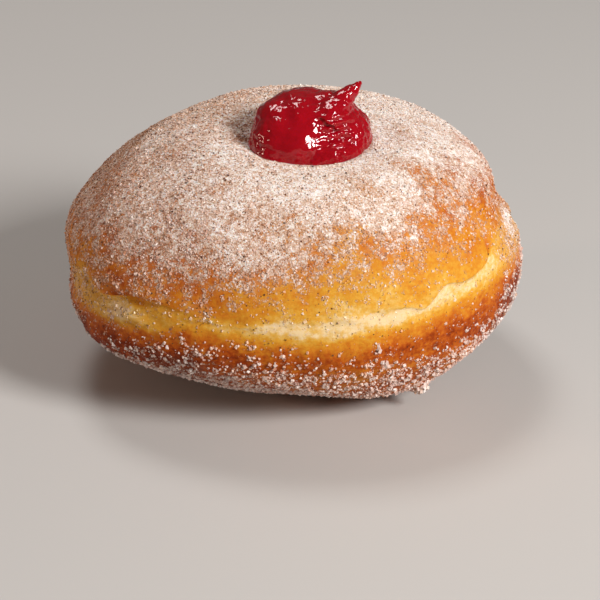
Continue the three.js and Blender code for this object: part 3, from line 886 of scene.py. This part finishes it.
def scatter(draw, count, density, spacing):
    """Draws places on the skin by area and density, no two in one box of space and none at the jelly.

    Gives each place, the skin's normal there, and the row and column of its cell in the skin's net.
    """
    weight = cell_area * density * (cell_place[..., 2] > TABLE_CLEARANCE)
    picked = draw.choice(weight.size, size=count, p=(weight / weight.sum()).ravel())
    row, column = np.unravel_index(picked, weight.shape)
    across = draw.random((count, 1))
    upward = draw.random((count, 1)) - 0.5
    place = cell_place[row, column] + cell_along[row, column] * across + cell_up[row, column] * upward
    first = np.unique(np.floor(place / spacing).astype(int), axis=0, return_index=True)[1]
    kept = np.array([i for i in np.sort(first) if is_clear(Vector(place[i]))])
    cell = row[kept], column[kept]
    return place[kept], skin_normal[cell], cell


def seats(draw, normal, tilt):
    """Three axes for each crystal: its third leans away from the skin's normal by up to about the tilt."""
    up = unit(normal + tilt * draw.normal(size=normal.shape))
    along = unit(np.cross(up, draw.normal(size=normal.shape)))
    return np.stack([along, np.cross(up, along), up], axis=1)


# Shapes of crystal, as points and faces: a block whose top is a little smaller than its base, and a shard.
BLOCK_TAPER = 0.12
BLOCK_CORNERS = np.array([(x, y, z) for z in (-1, 1) for y in (-1, 1) for x in (-1, 1)])
BLOCK = (
    BLOCK_CORNERS * (1 - BLOCK_TAPER * BLOCK_CORNERS[:, 2:] * np.array([1, 1, 0])),
    np.array([(0, 2, 3, 1), (4, 5, 7, 6), (0, 1, 5, 4), (2, 6, 7, 3), (0, 4, 6, 2), (1, 3, 7, 5)]),
)
SHARD = (
    np.array([(1, 1, 1), (1, -1, -1), (-1, 1, -1), (-1, -1, 1)]),
    np.array([(0, 1, 2), (0, 3, 1), (0, 2, 3), (1, 3, 2)]),
)
SIDES_LEAST, SIDES_MOST = 0.7, 1.25  # a crystal's sides, as shares of its size


def crystal_mesh(name, draw, shape, place, normal, sizes, thickness, tilt, lift, values):
    """One mesh of crystals, each with its own size, seat and named values, inside the box of the whole."""
    shape_points, shape_faces = shape
    count = len(place)
    sides = draw.uniform(SIDES_LEAST, SIDES_MOST, (count, 3))
    half = sizes[:, None] / 2 * sides * np.array([1, 1, thickness])
    local = shape_points[None] * half[:, None, :]
    turned = np.einsum("nji,npj->npi", seats(draw, normal, tilt), local)
    seat = place + normal * (sizes * lift)[:, None]
    points = np.clip(turned + seat[:, None, :], *cad_box)
    faces = shape_faces[None] + (np.arange(count) * len(shape_points))[:, None, None]
    corner_count = shape_faces.shape[1]
    mesh = bpy.data.meshes.new(name)
    mesh.vertices.add(points.size // 3)
    mesh.vertices.foreach_set("co", points.ravel())
    mesh.loops.add(faces.size)
    mesh.loops.foreach_set("vertex_index", faces.ravel())
    mesh.polygons.add(faces.size // corner_count)
    mesh.polygons.foreach_set("loop_start", np.arange(0, faces.size, corner_count))
    mesh.update(calc_edges=True)
    mesh.validate()
    mesh.shade_flat()
    for label, value in values.items():
        attribute = mesh.attributes.new(label, "FLOAT", "FACE")
        attribute.data.foreach_set("value", np.repeat(value, len(shape_faces)))
    return mesh


def crystal_material(name, stops, roughness, glow):
    """Crystals or flecks: each has its tint, and as far as it is clear the crust's colour shows through it.

    The glow is how much of the light goes into a crystal and comes out elsewhere.
    """
    material, net = new_material(name)
    tint, clearness, browned_and_shaded = (net.stored(label) for label in ("tint", "clearness", "browning"))
    mottle = net.group(patches, Size_mm=0.4, Cover=0.5, Softness=0.8).outputs[0]
    crust = net.group(fried_colour, Browning=browned_and_shaded).outputs[0]
    net.surface(
        Base_Color=net.mix(clearness, net.ramp(net.total(tint, (mottle, -0.12)), stops), crust),
        Roughness=roughness,
        Specular_IOR_Level=0.4,
        Subsurface_Weight=glow,
        Subsurface_Radius=(0.3, 0.33, 0.38),
        Subsurface_Scale=1 * MM,
    )
    return material


SUGAR_STOPS = [
    (0.0, (0.45, 0.23, 0.13)),
    (0.25, (0.64, 0.43, 0.31)),
    (0.5, (0.78, 0.61, 0.5)),
    (0.75, (0.88, 0.76, 0.67)),
    (1.0, (0.95, 0.91, 0.865)),
]
sugar = crystal_material("granulated sugar", SUGAR_STOPS, roughness=0.35, glow=0.15)

# The density of each kind over the skin's cells, by how far in mm they are past the edge of the cap's sugar
# or of the foot's. By the belt and at the foot they cling in small clumps.
STRAY_ON_CAP, STRAY_ON_SIDES, DUSTED_BELT, POCKET_CLEAR = 0.01, 0.1, 0.5, 0.8
CAP_DENSE, SIDES_FROM_CAP, SIDES_TO_CAP = (-7.0, 4.0), (-9.5, -1.0), (3.0, 9.0)
SIDES_TO_FOOT, FOOT_DENSE, SIDES_FEWER = (-9.0, 0.0), (-8.0, 2.0), 0.5
CLUMP_LEAST, CLUMP_MORE, CLUMP_EDGE = 0.2, 1.6, (-0.05, 0.4)

cap_reach = cell_rise - cap_edge[:-1] + cell_uneven
foot_reach = -cell_rise - foot_edge[:-1] + cell_uneven
clumps = ripple_at(cell_place / MM, size=1.3, octaves=1, seed=91.0)
clumped = CLUMP_LEAST + CLUMP_MORE * smooth(clumps, *CLUMP_EDGE)
dense_cap = smooth(cap_reach, *CAP_DENSE) + STRAY_ON_CAP
thin_sides = smooth(cap_reach, *SIDES_FROM_CAP) * (1 - SIDES_FEWER * smooth(cap_reach, *SIDES_TO_CAP))
thin_sides = thin_sides + smooth(foot_reach, *SIDES_TO_FOOT) + STRAY_ON_SIDES
thin_sides += DUSTED_BELT * between_rows(belt_dust)
thin_sides = thin_sides * clumped * (1 - POCKET_CLEAR * pocket[:-1])
foot_only = smooth(foot_reach, *FOOT_DENSE) * clumped

# Kinds of crystal: how many are drawn, size and spacing in mm, thickness and lift as shares of the size,
# tint at the left and the right, its spread, how far it follows the dusting, and how clear at most.
ON_CAP = dict(lift=0.05, density=dense_cap, spread=0.34, follow=0.5, clear=0.4)
ON_SIDES = dict(thickness=0.6, lift=0.05, tilt=0.5, spread=0.2, follow=0.0, clear=0.8)
ON_FOOT = dict(thickness=0.75, lift=0.1, tilt=0.8, spread=0.28, follow=0.0, clear=0.5)
SUGAR_KINDS = [
    dict(ON_CAP, name="cap_crystals", shape=BLOCK, seed=1, count=9000, size=0.26, spacing=0.36,
         thickness=0.6, tilt=0.6, tint=(0.39, 0.66)),
    dict(ON_CAP, name="fine_grains", shape=SHARD, seed=2, count=30000, size=0.18, spacing=0.2,
         thickness=0.7, tilt=0.7, tint=(0.31, 0.6)),
    dict(ON_SIDES, name="side_crystals", shape=SHARD, seed=3, count=30000, size=0.28, spacing=0.24,
         density=thin_sides, tint=(0.72, 0.88)),
    dict(ON_SIDES, name="side_lumps", shape=BLOCK, seed=5, count=4500, size=0.34, spacing=0.36,
         density=thin_sides * clumped, tint=(0.75, 0.9)),
    dict(ON_FOOT, name="foot_crystals", shape=BLOCK, seed=4, count=15000, size=0.38, spacing=0.38,
         density=foot_only, tint=(0.85, 0.95)),
]
SIZE_SPREAD, SIZE_LIMITS = 0.28, (0.55, 1.6)
WHITE_AZIMUTH, MEAN_DUSTING = math.radians(10), 0.85
CLEAR_LEAST, DUSTED_CLEAR, DUSTED_LIMITS = 0.3, 1.6, (0.3, 1.2)


def add_sugar(kind):
    draw = np.random.default_rng(kind["seed"])
    place, normal, cell = scatter(draw, kind["count"], kind["density"], kind["spacing"] * MM)
    sizes = kind["size"] * MM * np.clip(draw.lognormal(0, SIZE_SPREAD, len(place)), *SIZE_LIMITS)
    left, right = kind["tint"]
    whiter = 0.5 + 0.5 * np.cos(skin_azimuth[cell] - WHITE_AZIMUTH)
    mean_tint = left + (right - left) * whiter + kind["follow"] * (dusting_and_light[cell] - MEAN_DUSTING)
    tint = np.clip(draw.normal(mean_tint, kind["spread"]), 0, 1)
    clearness = kind["clear"] * draw.uniform(CLEAR_LEAST, 1, len(place))
    clearness = clearness * np.clip(DUSTED_CLEAR - dusting_and_light[cell], *DUSTED_LIMITS)
    values = {"tint": tint, "clearness": clearness, "browning": browning[cell]}
    seat = kind["thickness"], kind["tilt"], kind["lift"]
    mesh = crystal_mesh(kind["name"], draw, kind["shape"], place, normal, sizes, *seat, values)
    mesh.materials.append(sugar)
    add_piece(kind["name"], mesh, "dough")


for sugar_kind in SUGAR_KINDS:
    add_sugar(sugar_kind)

# ---------- the cinnamon
# Dark flecks of ground bark that were tossed with the sugar. They lie thin and flat on the skin between the
# crystals, more of them on the side away from the lamp, as painted shade.
FLECK_SEED, FLECK_COUNT, FLECK_SIZE, FLECK_SPACING = 9, 12000, 0.13 * MM, 0.4 * MM
FLECK_SPREAD, FLECK_LIMITS, FLECK_CLEAR = 0.45, (0.5, 2.6), 0.3
FLECK_STOPS = [(0.0, (0.02, 0.01, 0.007)), (0.6, (0.07, 0.025, 0.013)), (1.0, (0.17, 0.06, 0.03))]
BARE_FLECKS, SHADE_FLECKS = 0.4, 1.5

fleck_draw = np.random.default_rng(FLECK_SEED)
# More dark flecks away from the lit side: painted shade.
fleck_density = (BARE_FLECKS + dusting_and_light[:-1]) * (SHADE_FLECKS - lit_side[:-1])
place, normal, cell = scatter(fleck_draw, FLECK_COUNT, fleck_density, FLECK_SPACING)
fleck_sizes = FLECK_SIZE * np.clip(fleck_draw.lognormal(0, FLECK_SPREAD, len(place)), *FLECK_LIMITS)
fleck_values = {
    "tint": fleck_draw.random(len(place)),
    "clearness": FLECK_CLEAR * fleck_draw.random(len(place)),
    "browning": browning[cell],
}
fleck_seat = dict(thickness=0.6, tilt=0.4, lift=0.3, values=fleck_values)
flecks = crystal_mesh("cinnamon_flecks", fleck_draw, SHARD, place, normal, fleck_sizes, **fleck_seat)
flecks.materials.append(crystal_material("ground cinnamon", FLECK_STOPS, roughness=0.7, glow=0.0))
add_piece("cinnamon_flecks", flecks, "dough")

# ---------- the table and the light
# A pale table top, a soft lamp at the right front, a weaker one above and behind, a warm one at the left,
# and dim warm room light all round.
TABLE_SIZE = 6.0
TABLE_COLOUR, TABLE_ROUGHNESS = (0.56, 0.545, 0.525, 1), 0.7
ROOM_COLOUR, ROOM_STRENGTH = (1.0, 0.9, 0.8, 1), 0.1

table_mesh = bpy.data.meshes.new("table")
corners = [(x * TABLE_SIZE / 2, y * TABLE_SIZE / 2, 0) for x, y in ((-1, -1), (1, -1), (1, 1), (-1, 1))]
table_mesh.from_pydata(corners, [], [(0, 1, 2, 3)])
table = bpy.data.objects.new("table", table_mesh)
bpy.context.scene.collection.objects.link(table)
table_material, net = new_material("pale table")
net.surface(Base_Color=TABLE_COLOUR, Roughness=TABLE_ROUGHNESS)
table_mesh.materials.append(table_material)


def add_lamp(name, direction, distance, size, watts, colour):
    """A square soft lamp in a direction from the doughnut, facing it."""
    lamp_data = bpy.data.lights.new(name, "AREA")
    lamp_data.size = size
    lamp_data.energy = watts
    lamp_data.color = colour
    lamp = bpy.data.objects.new(name, lamp_data)
    bpy.context.scene.collection.objects.link(lamp)
    lamp.location = middle + Vector(direction).normalized() * distance
    lamp.rotation_euler = (middle - lamp.location).to_track_quat("-Z", "Y").to_euler()


add_lamp("key", direction=(0.7, -0.62, 0.57), distance=0.9, size=0.26, watts=9.4, colour=(1.0, 0.97, 0.95))
add_lamp("top", direction=(-0.2, 0.4, 1.0), distance=1.0, size=0.3, watts=3.0, colour=(1.0, 0.98, 0.97))
add_lamp("fill", direction=(-1.0, -0.1, 0.25), distance=1.1, size=0.2, watts=2.2, colour=(1.0, 0.68, 0.54))

world = bpy.data.worlds.new("room")
bpy.context.scene.world = world
world.use_nodes = True
net = Nodes(world.node_tree)
background = net.add("ShaderNodeBackground", Color=ROOM_COLOUR, Strength=ROOM_STRENGTH)
net.add("ShaderNodeOutputWorld", Surface=background.outputs[0])
bpy.context.scene.view_settings.view_transform = "Standard"
